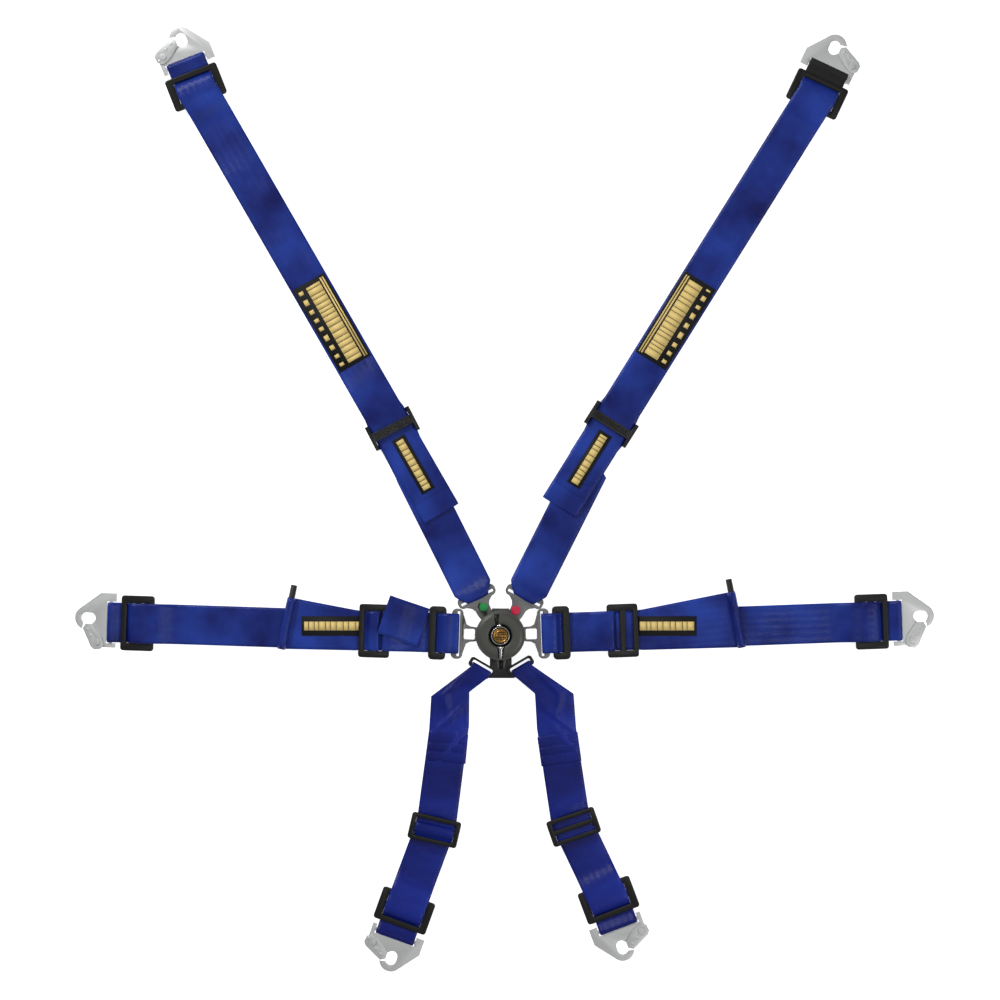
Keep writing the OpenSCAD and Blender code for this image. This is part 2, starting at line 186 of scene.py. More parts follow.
def webbing_material(name, dark, light, sheen, stretch=1.0):
    m, tree, bsdf = new_material(
        name, Roughness=0.31, Specular_IOR_Level=0.3, Sheen_Weight=0.02, Sheen_Tint=srgb(sheen)
    )
    uv = add(tree, "ShaderNodeUVMap", uv_map="UVMap").outputs[0]
    axes = add(tree, "ShaderNodeSeparateXYZ", {0: uv})
    band = add(tree, "ShaderNodeMath", {0: axes.outputs[1], 1: 1 / BAND_WIDTH}, operation="MULTIPLY")
    zigzag = add(tree, "ShaderNodeMath", {0: band.outputs[0], 1: 0.5}, operation="PINGPONG")
    shift = add(tree, "ShaderNodeMath", {0: zigzag.outputs[0], 1: 0.0042}, operation="MULTIPLY")
    slanted = add(tree, "ShaderNodeMath", {0: axes.outputs[0], 1: shift.outputs[0]}, operation="ADD")
    per_metre = 2 * math.pi / THREAD_PITCH
    turns = add(tree, "ShaderNodeMath", {0: slanted.outputs[0], 1: per_metre}, operation="MULTIPLY")
    rib = add(tree, "ShaderNodeMath", {0: turns.outputs[0]}, operation="SINE")
    cross = add(tree, "ShaderNodeMath", {0: axes.outputs[1], 1: 2 * math.pi / 0.0011}, operation="MULTIPLY")
    cord = add(tree, "ShaderNodeMath", {0: cross.outputs[0]}, operation="SINE")
    weave = add(tree, "ShaderNodeMath", {0: rib.outputs[0], 1: cord.outputs[0]}, operation="MULTIPLY")
    spread = add(tree, "ShaderNodeMapping", {"Vector": uv, "Scale": (1.0, stretch, 1.0)})
    # painted shade and painted highlights: a slow noise blends the dark and the light blue over the belt, and
    # the fine weave is added on top
    soft = add(tree, "ShaderNodeTexNoise", {"Vector": spread.outputs[0], "Scale": 14.0, "Detail": 3.0})
    painted_fold_light = add(tree, "ShaderNodeMapRange", {"Value": soft.outputs["Fac"], "From Min": 0.3, "From Max": 0.72})
    fine = add(tree, "ShaderNodeMath", {0: weave.outputs[0], 1: 0.08}, operation="MULTIPLY")
    fold_light_and_weave = add(tree, "ShaderNodeMath", {0: painted_fold_light.outputs[0], 1: fine.outputs[0]}, operation="ADD")
    tree.links.new(tint(tree, dark, light, fold_light_and_weave.outputs[0]), bsdf.inputs["Base Color"])
    bump = add(tree, "ShaderNodeBump", {"Height": weave.outputs[0], "Strength": 0.25, "Distance": 0.0002})
    tree.links.new(bump.outputs[0], bsdf.inputs["Normal"])
    return m


# the royal blue webbing has patches of painted shade and painted highlight in its colour
WEBBING = webbing_material("woven polyester webbing, royal blue", "#020a5c", "#2444ae", "#8f9be0")
# darker blue as painted shade; the noise is drawn out across the belt, so it paints highlight bands across it
DEEP_WEBBING = webbing_material("woven polyester webbing, painted shade and highlight bands", "#000354", "#1830a2", "#8f9be0", 0.35)
print(WEBBING.name)

# %% [markdown]
# The hardware has four finishes. The adjusters and slides are steel with a black coating, slightly rough
# like an orange skin. The tongues are plain grey steel from the tumbler. The hooks are bright zinc plate,
# and the cap of the buckle is dark anodised aluminium with a turned grain.


# %% Metal materials
def coated(name, colour, metallic, roughness, grain, scale, depth=0.00004):
    m, tree, bsdf = new_material(name, Base_Color=srgb(colour), Metallic=metallic, Roughness=roughness)
    where = add(tree, "ShaderNodeTexCoord").outputs["Object"]
    noise = add(tree, "ShaderNodeTexNoise", {"Vector": where, "Scale": scale, "Detail": 4.0})
    rough = add(
        tree,
        "ShaderNodeMapRange",
        {"Value": noise.outputs["Fac"], "To Min": roughness - grain, "To Max": roughness + grain},
    )
    tree.links.new(rough.outputs[0], bsdf.inputs["Roughness"])
    bump = add(tree, "ShaderNodeBump", {"Height": noise.outputs["Fac"], "Strength": 0.3, "Distance": depth})
    tree.links.new(bump.outputs[0], bsdf.inputs["Normal"])
    return m


BLACK_STEEL = coated("black coated steel", "#1e1e1d", 0.35, 0.32, 0.08, 900)
GREY_STEEL = coated("tumbled steel, grey", "#868686", 0.75, 0.5, 0.1, 500)
ZINC = coated("zinc plated steel", "#dadbdb", 0.5, 0.45, 0.1, 260, 0.00015)
CHROME = coated("polished chrome", "#e6e6e8", 1.0, 0.1, 0.03, 200)
CAP_METAL = coated("dark anodised aluminium", "#565652", 0.45, 0.45, 0.08, 700)
# near-black aluminium for the back plate and the emblem bars, and painted shade in the cap's groove, rib base
# and well floor and in the bracket's slot
CAP_DARK_AND_SHADE = coated("dark anodised aluminium and painted recess shade", "#161616", 0.3, 0.45, 0.08, 700)
WORN_CHROME = coated("worn chrome", "#a9aaa6", 0.9, 0.22, 0.1, 300)
BRASS = coated("gilt brass", "#a67a3c", 0.85, 0.35, 0.1, 500)
# lighter grey for the bracket's ribs: worn edge, and painted highlight
RIB_STEEL = coated("black steel, worn edge and painted highlight", "#626262", 0.5, 0.4, 0.1, 500)
GREEN = coated("green enamel", "#1f9a4a", 0.0, 0.4, 0.05, 300)
RED = coated("red enamel", "#e2224f", 0.0, 0.4, 0.05, 300)
BLACK_PLASTIC = coated("black moulded plastic", "#161616", 0.0, 0.5, 0.06, 600)
LABEL_CLOTH = coated("woven label, black", "#141415", 0.0, 0.75, 0.05, 2500, 0.0001)
GOLD_THREAD = coated("woven label, gold thread", "#ffe08c", 0.0, 0.55, 0.08, 2500, 0.0001)
print("metals and trims ready")

# %% [markdown]
# A pressed or cast part never has a knife edge. The model's solids do, so each one is copied, its flat
# faces are joined, and a small bevel of about half a millimetre rounds the edges. The light then draws a
# thin line round every plate, as on the real steel.


# %% Dress a piece of hardware
def finish(obj, body, material, replaced=()):
    obj.data.materials.clear()
    obj.data.materials.append(material)
    for p in obj.data.polygons:
        p.use_smooth = True
    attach(obj, body)
    if replaced:
        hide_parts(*replaced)
    return obj


def link(name, mesh):
    obj = bpy.data.objects.new(name, mesh)
    bpy.context.scene.collection.objects.link(obj)
    return obj


def dress(node, material, bevel=0.5, segments=2):
    bm = bmesh.new()
    bm.from_mesh(nodes[node].data)
    bmesh.ops.remove_doubles(bm, verts=bm.verts, dist=2e-6)
    bmesh.ops.dissolve_limit(bm, angle_limit=math.radians(2), verts=bm.verts, edges=bm.edges)
    mesh = bpy.data.meshes.new(node + "_look")
    bm.to_mesh(mesh)
    bm.free()
    obj = link(node + "_look", mesh)
    mod = obj.modifiers.new("edge", "BEVEL")
    mod.width = bevel * MM
    mod.segments = segments
    mod.limit_method = "ANGLE"
    mod.angle_limit = math.radians(35)
    mod.harden_normals = True
    finish(obj, body_of(node), material, [node])
    return obj


def round_loop(x0, x1, y0, y1, r, n=6):
    out = []
    corners = ((x1 - r, y1 - r, 0), (x0 + r, y1 - r, 90), (x0 + r, y0 + r, 180), (x1 - r, y0 + r, 270))
    for cx, cy, start in corners:
        for i in range(n + 1):
            a = math.radians(start + 90 * i / n)
            out.append((cx + r * math.cos(a), cy + r * math.sin(a)))
    return out


def pressed(name, node, at, angle, loops, z, thick, bevel, material):
    """A flat piece cut from plate, with its edges rounded: first loop the outline, the others holes."""
    curve = bpy.data.curves.new(name, "CURVE")
    curve.dimensions = "2D"
    curve.fill_mode = "BOTH"
    curve.bevel_depth = bevel * MM
    curve.bevel_resolution = 3
    curve.offset = -bevel * MM
    curve.extrude = (thick / 2 - bevel) * MM
    for points in loops:
        spline = curve.splines.new("POLY")
        spline.points.add(len(points) - 1)
        for p, (x, y) in zip(spline.points, points):
            p.co = (x * MM, y * MM, 0, 1)
        spline.use_cyclic_u = True
    rough = link(name + "_curve", curve)
    rough.location = (at[0] * MM, at[1] * MM, (z + thick / 2) * MM)
    rough.rotation_euler.z = math.radians(angle)
    bpy.context.view_layer.update()
    mesh = bpy.data.meshes.new_from_object(rough.evaluated_get(bpy.context.evaluated_depsgraph_get()))
    mesh.transform(rough.matrix_world)
    bpy.data.objects.remove(rough)
    bm = bmesh.new()
    bm.from_mesh(mesh)
    bmesh.ops.remove_doubles(bm, verts=bm.verts, dist=1e-6)
    bmesh.ops.recalc_face_normals(bm, faces=bm.faces)
    bm.to_mesh(mesh)
    bm.free()
    obj = finish(link(name, mesh), body_of(node), material, [node])
    obj.data.set_sharp_from_angle(angle=math.radians(50))
    return obj


OPEN = 24.6


def three_bar(node, angle, half, wide, bar, mid):
    reach, slot = (mid + half - bar) / 2, (half - bar - mid) / 2
    holes = [round_loop(s * reach - slot, s * reach + slot, -OPEN, OPEN, 1.2) for s in (-1, 1)]
    outline = round_loop(-half, half, -wide / 2, wide / 2, 3.5)
    return pressed(node + "_look", node, centre(node), angle, [outline] + holes, 4, 3, 1.2, BLACK_STEEL)


CROTCH_FRAME = {"left": -103.2, "right": -71}
for name in nodes:
    if name.endswith("_slide"):
        three_bar(name, hook_heading(name[:-5] + "hook"), 20.5, 68, 7, 3.5)
    elif name.endswith("_tongue_adjuster"):
        x = -10.75
        loops = [round_loop(x, x + 21.5, -33, 33, 5), round_loop(x + 5, x + 12.5, -OPEN, OPEN, 1.2)]
        s = name.split("_")[1]
        pressed(name + "_look", name, centre(name), heading(f"lap_{s}_length"), loops, 4, 3, 1.3, BLACK_STEEL)
    elif name.startswith("lap") and name.endswith("_adjuster"):
        three_bar(name, heading(name[:-8] + "length"), 19.2, 66, 6.5, 3.5)
    elif name.startswith("crotch") and name.endswith("_adjuster"):
        three_bar(name, CROTCH_FRAME[name.split("_")[1]], 16.5, 62, 5.5, 3)
    elif name.startswith("shoulder") and name.endswith("_adjuster"):
        dress(name, BLACK_STEEL, 0.9, 3)
    elif name.endswith("_tongue"):
        dress(name, GREY_STEEL, 0.6)
    elif name.endswith("pull_tube"):
        dress(name, BLACK_PLASTIC, 0.4)
dress("crotch_bracket", BLACK_STEEL, 0.7, 3)
dress("buckle_housing", CAP_METAL, 0.5)
dress("buckle_back_plate", CAP_DARK_AND_SHADE, 0.5)
dress("shoulder_left_marker", GREEN, 0.8, 3)
dress("shoulder_right_marker", RED, 0.8, 3)
print("hardware dressed")

# %% [markdown]
# The four parts inside the buckle are hidden behind the cap. They get a plain steel finish in place, with
# no new shape, because only an opened buckle would show them.

# %% Finish the inner parts
for name in ("latch_pins", "return_spring", "spindle", "back_screws"):
    nodes[name].data.materials.clear()
    nodes[name].data.materials.append(GREY_STEEL)
print("inner parts finished")

# %% [markdown]
# A belt is a strip that follows a path, seen from the side. The path is drawn with corners and then
# rounded by cutting its corners a few times, which is how stiff webbing bends over a bar. The strip is
# thinner at its two edges, and a small lift gives the soft dents that flat belts keep from handling.


# %% Make webbing along a path
def rounded(path, rounds=3):
    pts = [Vector(p) for p in path]
    for _ in range(rounds):
        out = [pts[0]]
        for a, b in zip(pts, pts[1:]):
            out += [a.lerp(b, 0.25), a.lerp(b, 0.75)]
        pts = out + [pts[-1]]
    return pts


def even(pts, step=2.5):
    out = [pts[0]]
    for a, b in zip(pts, pts[1:]):
        n = max(1, math.ceil((b - a).length / step))
        out += [a.lerp(b, i / n) for i in range(1, n + 1)]
    return out


def bend(x, z, r, a0, a1, n=12):
    steps = [math.radians(a0 + (a1 - a0) * i / n) for i in range(n + 1)]
    return [(x + r * math.cos(t), z + r * math.sin(t)) for t in steps]


def strip_mesh(name, rows, thick=1.4):
    """rows: for each step the left and right edge point, the up direction and a lift function."""
    across = 14
    verts, faces, uvs = [], [], []
    length = 0.0
    last = None
    ring = 2 * (across + 1)
    for left, right, up, lift in rows:
        mid = (left + right) / 2
        length += (mid - last).length if last is not None else 0.0
        last = mid
        wide = (right - left).length
        for side in (1, -1):
            for j in range(across + 1):
                t = j / across if side > 0 else 1 - j / across
                edge = min(1.0, min(t, 1 - t) * wide / 1.6)
                half = thick / 2 * (0.45 + 0.55 * math.sqrt(edge))
                verts.append(left.lerp(right, t) + up * (side * half + lift(length, t)))
                uvs.append((length * MM, (t - 0.5) * wide * MM))
    for i in range(len(rows) - 1):
        for j in range(ring):
            k = (j + 1) % ring
            faces.append((i * ring + j, i * ring + k, (i + 1) * ring + k, (i + 1) * ring + j))
    faces.append(tuple(range(ring - 1, -1, -1)))
    faces.append(tuple(range((len(rows) - 1) * ring, len(rows) * ring)))
    mesh = bpy.data.meshes.new(name)
    mesh.from_pydata([tuple(v * MM) for v in verts], [], faces)
    layer = mesh.uv_layers.new(name="UVMap")
    for loop in mesh.loops:
        layer.data[loop.index].uv = uvs[loop.vertex_index]
    bm = bmesh.new()
    bm.from_mesh(mesh)
    bmesh.ops.recalc_face_normals(bm, faces=bm.faces)
    bm.to_mesh(mesh)
    bm.free()
    return mesh


def flat(length, t):
    return 0.0


def rows_of(at, angle, path, wide=49, lift=flat, rounds=3):
    """The rows of a strip that runs along a straight line in plan and follows path in height."""
    pts = even(rounded(path, rounds))
    rows = []
    for i, p in enumerate(pts):
        d = (pts[min(i + 1, len(pts) - 1)] - pts[max(i - 1, 0)]).normalized()
        w = wide(p.x) if callable(wide) else wide
        side = place((0, 0), angle, -d.y)
        up = Vector((side.x, side.y, d.x))
        rows.append((place(at, angle, p.x, w / 2, p.y), place(at, angle, p.x, -w / 2, p.y), up, lift))
    return rows


def curve(a, b, step=3):
    """Rows that lead from row a to row b on a smooth curve; each row comes with the way it is heading."""
    (row0, way0), (row1, way1) = a, b
    reach = ((row1[0] + row1[1]) / 2 - (row0[0] + row0[1]) / 2).length
    n = max(2, round(reach / step))
    rows = []
    for i in range(1, n):
        t = i / n
        h = (2 * t**3 - 3 * t**2 + 1, t**3 - 2 * t**2 + t, 3 * t**2 - 2 * t**3, t**3 - t**2)
        edges = [row0[k] * h[0] + way0 * reach * h[1] + row1[k] * h[2] + way1 * reach * h[3] for k in (0, 1)]
        rows.append((edges[0], edges[1], row0[2].lerp(row1[2], t), row0[3]))
    return rows


def way(a, b):
    return ((b[0] + b[1]) / 2 - (a[0] + a[1]) / 2).normalized()


def join(rows, more):
    """Lets one part of a strip swing gently into the heading of the next one."""
    return rows + curve((rows[-1], way(rows[-2], rows[-1])), (more[0], way(more[0], more[1]))) + more


def strip(name, node, rows, material=WEBBING, thick=1.4, replaced=()):
    obj = link(name, strip_mesh(name, rows, thick))
    finish(obj, body_of(node), material, replaced)
    return obj


def waves(seed, height, length=90, skew=0.6, end=9999):
    """Soft slanting swells that fade at both ends of the strip."""
    phase = random.Random(seed).uniform(0, 6.28)

    def lift(s, t):
        slow = math.sin(2 * math.pi * s / length + phase + skew * 4 * t)
        fast = math.sin(2 * math.pi * s / (length * 0.43) - phase + skew * 3 * (1 - t))
        fade = max(0.0, min(1.0, s / 30, (end - s) / 30))
        return height * (0.55 + 0.3 * slow + 0.15 * fast) * fade

    return lift


def kept_flat(lift, low, high):
    """The same swells, but flat between low and high, where the webbing runs under a bar."""

    def calm(s, t):
        off = max(low - s, s - high, 0.0)
        return lift(s, t) * min(1.0, off / 25)

    return calm


print("webbing helpers ready")

# %% [markdown]
# Levels first: one layer of webbing lies on the floor, a second one on top of it, and the flat frames sit
# above both. Every path uses these few heights, so the layers never run into one another.

# %% Heights of the layers
THICK = 1.4
LAYER_1 = 0.3 + THICK / 2
LAYER_2 = LAYER_1 + THICK + 0.4
OVER = 8.1
UNDER = 2.9
LOOP_MID = 7.5
LOOP_R = 2.6
STRIP = 6.9
print("layers at", LAYER_1, LAYER_2, UNDER, OVER, "mm")

# %% [markdown]
# At the outer end of each belt the webbing goes through a three bar slide, round the bar of the hook and
# back through the slide. It is one piece with its belt, so both get the same material and ride together.


# %% Webbing at the hooks
def hook_path():
    return (
        [(-5, OVER + 1.8), (5, OVER + 1.8)]
        + [(10.8, 5.5), (12.2, LAYER_2), (22, LAYER_2)]
        + bend(33.6, 4.6, 3.6, 118, -90)
        + [(10, LAYER_1), (7.2, 3.5), (4.6, OVER), (-4.6, OVER), (-8.5, 3.5), (-11, 1.6), (-19, 1.6)]
    )


def belt_end(length):
    """The belt rises from the floor over the outer bar of the slide, still on its own heading."""
    return [(length - 62, LAYER_1), (length - 42, LAYER_1), (length - 27, OVER), (length - 13, OVER + 0.6)]


def hook_rows(prefix):
    return rows_of(centre(prefix + "_slide"), hook_heading(prefix + "_hook"), hook_path(), rounds=2)


print("hook path has", len(hook_path()), "corners")

# %% [markdown]
# The shoulder belts: the lower length folds round the tongue and ends at the adjuster, and the long upper
# length runs from its free tail under the adjuster's bar to the hook.

# %% Shoulder belts
START = {"left": -5.4, "right": 6.0}
FRAME_DIR = {"left": 117.2, "right": 57.6}


def loop(x=54.0):
    return [(58, LOOP_MID - LOOP_R)] + bend(x, LOOP_MID, LOOP_R, -90, -270) + [(60, LOOP_MID + LOOP_R)]


def waist(x):
    t = min(1.0, max(0.0, (x - 50.5) / 14))
    return 22 + 27 * t**0.6


def squeezed(x):
    """Webbing spreads a little where it runs through the frame of the adjuster."""
    return 49 + 2.3 * min(1.0, max(0.0, (26 - abs(x)) / 9))


for s in SIDES:
    pre = f"shoulder_{s}"
    aim = heading(pre + "_release")
    adj = centre(pre + "_adjuster")
    origin = (START[s], 0)
    far = (adj - Vector(origin)).length
    rows = rows_of(
        origin,
        aim,
        [(118, LAYER_1), (100, LAYER_1)] + loop() + [(72, 5.7), (100, LAYER_2), (far - 62, LAYER_2)],
        waist,
        waves(3 + len(s), 2.6, 104, 0.8, far),
    )
    rows += rows_of(
        adj,
        FRAME_DIR[s],
        [(-56, LAYER_2), (-27, LAYER_2), (-18, 5.2)] + bend(-10.5, 3.1, 2.1, 90, -90) + [(-40, LAYER_1)],
    )
    strip(pre + "_lower_webbing_look", pre + "_lower_webbing", rows, replaced=[pre + "_lower_webbing"])
    along = heading(pre + "_length")
    length = (centre(pre + "_slide") - adj).length
    rows = rows_of(
        adj,
        along,
        [(-97, STRIP + 1.5), (-119.6, STRIP + 1.5), (-120.6, STRIP + 0.7), (-119.6, STRIP), (-60, STRIP)]
        + [(0, STRIP - 0.1), (56, STRIP), (94, LAYER_1), (104, LAYER_1)] + belt_end(length),
        squeezed,
        kept_flat(waves(11 + len(s), 1.5, 120, 0.7, length + 60), 0, 172),
    )
    rows = join(rows, hook_rows(pre))
    strip(pre + "_upper_webbing_look", pre + "_upper_webbing", rows, replaced=[pre + "_upper_webbing"])
print("shoulder belts made")

# %% [markdown]
# The lap belts wrap round their tongue over a black adjusting bar, pass an adjuster in the middle, and
# have a loose end with a stiff tube sewn into it, which the driver pulls to tighten the belt.


# %% Lap belts
def tail_place(s, x, y, z=0.0):
    """A point in the frame of a lap adjuster, with y towards the shoulder belts."""
    flip = -1 if s == "left" else 1
    return place(centre(f"lap_{s}_adjuster"), heading(f"lap_{s}_length"), x, flip * y, z)


def tail_rows(s):
    top, low = Vector(SLEEVE[s]), Vector((SLEEVE[s][0] + 11, -26))
    along = (low - top).normalized()
    out = Vector((-along.y, along.x))
    rows = []
    for i in range(15):
        t = i / 14
        a, b = Vector((24, 25)).lerp(top, t), Vector((24, -25)).lerp(low, t)
        rows.append((tail_place(s, *a, UNDER), tail_place(s, *b, UNDER), Vector((0, 0, 1)), flat))
    for i in range(1, 21):
        turn = math.radians(-90 + 300 * i / 20)
        shift, z = out * (4.6 * math.cos(turn)), 6.9 + 4.6 * math.sin(turn)
        up = tail_place(s, *(-out * math.cos(turn))) - tail_place(s, 0, 0)
        up.z = -math.sin(turn)
        rows.append((tail_place(s, *(top + shift), z), tail_place(s, *(low + shift), z), up, flat))
    return rows if s == "right" else [(b, a, u, f) for a, b, u, f in rows]


SLEEVE = {"left": (103, 37.5), "right": (135, 43)}
for s in SIDES:
    pre = f"lap_{s}"
    aim = heading(pre + "_length")
    adj = centre(pre + "_adjuster")
    far = adj.length
    shift = 0 if s == "left" else -2.5
    rows = rows_of(
        (0, 0),
        aim,
        [(far - 32, UNDER)]
        + bend(far - 13.2, 5.5, 2.6, -90, 90)
        + [(far - 22, OVER), (far - 40, LAYER_2), (98, LAYER_2), (90, LAYER_1), (66, LAYER_1)]
        + loop()
        + [(64, 11.6), (69, 10.8), (72 + shift, OVER + 0.4), (78 + shift, UNDER), (86.5 + shift, UNDER)],
    )
    strip(pre + "_inner_webbing_look", pre + "_inner_webbing", rows, replaced=[pre + "_inner_webbing"])
    if s == "left":
        rows = rows_of(
            adj,
            aim,
            [(3, UNDER)]
            + bend(-3.1, 5.5, 2.6, -90, -270)
            + [(4.2, OVER), (8.8, 3.6), (11, UNDER), (19, UNDER)],
        )
    else:
        rows = rows_of(adj, aim, [(-8, UNDER), (19, UNDER)])
    strip(pre + "_tail_look", pre + "_tail", rows + tail_rows(s), replaced=[pre + "_tail"])
    length = (centre(pre + "_slide") - adj).length
    swell = kept_flat(waves(7, 1.0, 110, 0.7, length - 60), 0, 60)
    rows = rows_of(adj, aim, [(-30, LAYER_1)] + belt_end(length), 49, swell)
    rows = join(rows, hook_rows(pre))
    strip(pre + "_outer_webbing_look", pre + "_outer_webbing", rows, replaced=[pre + "_outer_webbing"])
strip(
    "lap_left_loose_end",
    "lap_left_inner_webbing",
    rows_of((-95, 9.1), 160.8, [(0, 4.9), (14.2, 5), (32.2, 10), (51.5, 10)], 49, waves(2, 1.2, 60, 0.5, 60)),
)
print("lap belts made")

# %% [markdown]
# The crotch belts leave the black bracket at a slant, fold over once to run straight down, and meet their
# adjuster. The fold is drawn in plan: two edges of the strip are led to the fold line and on.


# %% Crotch belts
ARM = {"left": ((-21.8, -38.6), -120.4), "right": ((24.2, -36.8), -59.6)}


def crease(s0, t0, slope, height, wide, run):
    """A soft slanting ridge, run millimetres long and wide across, centred at s0 and t0."""

    def lift(s, t):
        off = ((t - t0) * 49 - slope * (s - s0)) / wide
        return height * math.exp(-(off**2)) * math.exp(-(((s - s0) / run) ** 2))

    return lift


def both(*lifts):
    return lambda s, t: sum(f(s, t) for f in lifts)


# edges of the strip below the bracket, east then west, at the corner of the fold and below it
FOLD = {
    "left": (
        ((-38.2, -70.5), (-85.3, -75.5)),
        ((-38.6, -112), (-87.8, -116)),
        ((-46.8, -203), (-96.6, -207)),
    ),
    "right": (
        ((90.4, -72.3), (42.6, -72.3)),
        ((93.6, -116), (45.2, -116)),
        ((106.4, -203), (57.6, -206)),
    ),
}


def crotch_middle(s, first, last, lift):
    """Rows from the bracket through the fold to the adjuster, led along the two edges of the strip."""
    up = Vector((0, 0, 1))
    stops = [(first[0], first[1], up, lift)]
    for (east, west), z in zip(FOLD[s], (5.2, LAYER_2, LAYER_2)):
        stops.append((Vector((*east, z)), Vector((*west, z)), up, lift))
    rows = []
    for (a0, b0, _, _), (a1, b1, _, _) in zip(stops[:2], stops[1:3]):
        n = max(2, round((a1 - a0).length / 3))
        for i in range(1, n + 1):
            rows.append((a0.lerp(a1, i / n), b0.lerp(b1, i / n), up, lift))
    straight = way(stops[2], last[0])
    return rows + curve((stops[2], straight), (last[0], straight))


for s in SIDES:
    pre = f"crotch_{s}"
    at, aim = ARM[s]
    adj = centre(pre + "_adjuster")
    x = 1 if s == "left" else -1
    marks = both(
        crease(62, 0.5 + x * 0.18, -x * 0.25, 3.0, 4, 28),
        crease(95, 0.5, x * 1.1, 3.4, 5, 18),
        crease(125, 0.3, x * 0.7, 2.4, 6, 26),
        crease(210, 0.5, x * 0.15, 2.2, 16, 9),
    )
    rows = rows_of(
        at,
        aim,
        [(11, 4.4), (8, LOOP_MID - LOOP_R)] + bend(3.8, LOOP_MID, LOOP_R, -90, -270) + [(8, 10.1)],
        26,
    )
    if s == "left":
        over = [(-10.5, UNDER), (-6.2, 3.6), (-4, OVER), (3, OVER), (6.8, 4.8), (10.5, UNDER)]
    else:
        over = [(-10.5, UNDER), (4.4, UNDER), (10.5, UNDER)]
    last = rows_of(adj, CROTCH_FRAME[s], [(-15, LAYER_2)] + over + [(15, UNDER)], rounds=2)
    rows = rows + crotch_middle(s, rows[-1], last, marks) + last
    upper = pre + "_upper_webbing"
    strip(upper + "_look", upper, rows, DEEP_WEBBING, replaced=[upper])
    mids = [(Vector(a) + Vector(b)) / 2 for a, b in FOLD[s]]
    down = math.degrees(math.atan2(*reversed(mids[2] - mids[1])))
    base = LAYER_2 + 1.3
    hem = [(7, base - 0.9), (9, base), (17, base + 0.5), (20, base - 0.5), (23, base + 0.8)]
    hem += [(28, base + 0.4), (31, base - 0.6), (34, base + 0.4), (41, base), (43, base - 0.9)]
    hem_width = 48.8 if s == "left" else 50
    strip(pre + "_hem", upper, rows_of(mids[1], down, hem, hem_width, rounds=2), DEEP_WEBBING)
    aim = heading(pre + "_length")
    length = (centre(pre + "_slide") - adj).length
    swell = kept_flat(waves(5, 1.8, 62, 0.3, length - 25), 0, 45)
    rows = rows_of(adj, aim, [(-18, LAYER_1)] + belt_end(length), 49, swell)
    rows = join(rows, hook_rows(pre))
    lower = pre + "_lower_webbing"
    strip(lower + "_look", lower, rows, DEEP_WEBBING, replaced=[lower])
print("crotch belts made")

# %% [markdown]
# The hooks are pressed from plate and plated with zinc. The gate is a separate sprung lever on a rivet.

# %% Hooks and gates
for name in nodes:
    if name.endswith("_hook"):
        dress(name, ZINC, 0.7, 3)
    elif name.endswith("_gate"):
        dress(name, ZINC, 0.5, 3)


def dome(at, angle, x, y, z, r=2.1, height=0.6, steps=20):
    """A small pressed dome, as points and faces for one mesh."""
    points = [place(at, angle, x, y, z + height)]
    for k in range(1, 5):
        a = math.pi / 2 * k / 4
        for i in range(steps):
            t = 2 * math.pi * i / steps
            w = r * math.sin(a)
            across, up = w * math.cos(t), w * math.sin(t)
            points.append(place(at, angle, x + across, y + up, z + height * math.cos(a)))
    faces = [(0, 1 + i, 1 + (i + 1) % steps) for i in range(steps)]
    for k in range(3):
        a, b = 1 + k * steps, 1 + (k + 1) * steps
        faces += [(a + i, b + i, b + (i + 1) % steps, a + (i + 1) % steps) for i in range(steps)]
    return points, faces


def domes(name, body, material, spots):
    verts, faces = [], []
    for points, quads in spots:
        faces += [tuple(i + len(verts) for i in f) for f in quads]
        verts += [tuple(p * MM) for p in points]
    mesh = bpy.data.meshes.new(name)
    mesh.from_pydata(verts, [], faces)
    return finish(link(name, mesh), body, material)


for gate in [n for n in nodes if n.endswith("_gate")]:
    pre = gate[: -len("_gate")]
    at, aim = centre(pre + "_slide"), hook_heading(pre + "_hook")
    side = -joints[gate + "_swing"]["axis"][2]
    spots = [dome(at, aim, x, side * y, 8.25) for x, y in ((60, 9), (56, 17), (46, 29.5))]
    domes(gate + "_dimples", body_of(gate), ZINC, spots)
pre = "shoulder_right"
wrap = [(13, LAYER_2 + 1.7), (22, LAYER_2 + 1.4)] + bend(33, 4.6, 4.9, 118, -20)
rows = rows_of(centre(pre + "_slide"), hook_heading(pre + "_hook"), wrap, 50.5, rounds=2)
strip(pre + "_hook_sleeve", pre + "_upper_webbing", rows, LABEL_CLOTH, 0.9)
print("hooks dressed")


# %% [markdown]
# The cap of the buckle is turned aluminium with a finely toothed rim. A lathe function sweeps a profile
# round the axis, and the teeth are a small ripple of the radius on the rows that say so.


# %% Turn the cap
def lathe(name, profile, steps=240, teeth=0, depth=0.5):
    """profile: radius, height in mm and a share from 0 to 1 of the tooth ripple."""
    verts, faces = [], []
    for r, z, share in profile:
        for i in range(steps):
            a = 2 * math.pi * i / steps
            rr = r + share * depth * (0.5 + 0.5 * math.cos(teeth * a)) if teeth else r
            verts.append((rr * math.cos(a) * MM, rr * math.sin(a) * MM, z * MM))
    for k in range(len(profile) - 1):
        for i in range(steps):
            j = (i + 1) % steps
            faces.append((k * steps + i, k * steps + j, (k + 1) * steps + j, (k + 1) * steps + i))
    faces.append(tuple(range(steps - 1, -1, -1)))
    faces.append(tuple(range((len(profile) - 1) * steps, len(profile) * steps)))
    mesh = bpy.data.meshes.new(name)
    mesh.from_pydata(verts, [], faces)
    return link(name, mesh)


